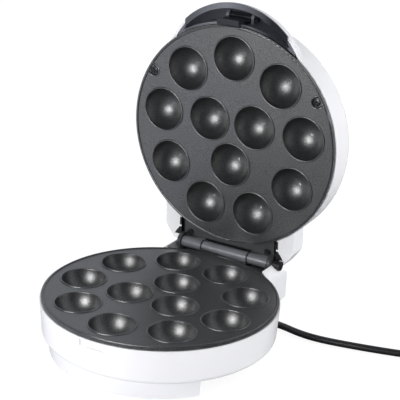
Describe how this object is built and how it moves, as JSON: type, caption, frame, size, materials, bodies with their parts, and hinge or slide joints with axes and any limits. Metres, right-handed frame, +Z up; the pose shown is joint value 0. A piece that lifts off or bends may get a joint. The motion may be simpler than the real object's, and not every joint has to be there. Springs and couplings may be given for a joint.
{
  "type": "cake pop maker",
  "caption": "Round clamshell cake pop maker, lid standing open on its rear hinge: dark cooking plates with ball cups in a glossy white housing, front grip with a latch, and a mains cord.",
  "frame": {"origin": "on the surface it stands on, under the middle of the box round the base and the open lid", "axes": "+Z up, +X to the right of someone who faces the open lid, +Y towards the hinge at the rear"},
  "size_m": [0.3707, 0.3613, 0.2795],
  "materials": {
    "white_shell": "glossy white",
    "coated_plate": "dark grey non-stick coating",
    "hinge_metal": "satin dark grey",
    "steel_screws": "satin",
    "heater_steel": "satin",
    "dark_grip": "glossy dark grey",
    "black_plastic": "matte black",
    "wire_insulation": "matte white sleeve",
    "cord_sheath": "matte black",
    "foot_rubber": "matte black",
    "red_lens": "clear red",
    "green_lens": "clear green",
    "lamp_glass": "clear",
    "plug_metal": "bright plated"
  },
  "bodies": {
    "base": {"base_shell": "white_shell", "bottom_cover": "white_shell", "bottom_cover_screws": "steel_screws", "rubber_feet": "foot_rubber", "lower_plate": "coated_plate", "lower_plate_screws": "steel_screws", "lower_heating_element": "heater_steel", "lower_element_clips": "heater_steel", "lower_clip_screws": "steel_screws", "lower_heat_shield": "heater_steel", "lower_shield_screws": "steel_screws", "thermostat": "black_plastic", "terminal_block": "black_plastic", "cord_clamp": "black_plastic", "base_wiring": "wire_insulation", "base_hinge_bracket": "hinge_metal", "base_hinge_screws": "steel_screws", "base_lead_guard": "black_plastic", "strain_relief": "black_plastic", "power_cord": "cord_sheath", "cord_coil": "cord_sheath", "cord_tie": "black_plastic", "plug_body": "black_plastic", "plug_pins": "plug_metal"},
    "lid": {"lid_shell": "white_shell", "upper_plate": "coated_plate", "upper_plate_screws": "steel_screws", "upper_heating_element": "heater_steel", "upper_element_clips": "heater_steel", "upper_clip_screws": "steel_screws", "upper_heat_shield": "heater_steel", "upper_shield_screws": "steel_screws", "thermal_cutout": "black_plastic", "lid_wiring": "wire_insulation", "lid_hinge_bracket": "hinge_metal", "lid_hinge_screws": "steel_screws", "hinge_pin": "hinge_metal", "pin_clips": "hinge_metal", "lid_lead_guard": "black_plastic", "grip_liner": "dark_grip", "grip_screws": "steel_screws", "power_lens": "red_lens", "ready_lens": "green_lens", "indicator_lamps": "lamp_glass", "lamp_holder": "black_plastic", "lamp_holder_screws": "steel_screws", "latch_pin": "heater_steel"},
    "latch": {"latch_clip": "dark_grip"}
  },
  "joints": [
    {"name": "lid_hinge", "type": "hinge", "parent": "base", "child": "lid", "pos_m": [0, 0.08747, 0.0504], "axis": [1, 0, 0], "range_deg": [0, 88.2]},
    {"name": "latch_pivot", "type": "hinge", "parent": "lid", "child": "latch", "pos_m": [0, 0.09479, 0.26634], "axis": [1, 0, 0], "range_deg": [0, 5.5]}
  ]
}
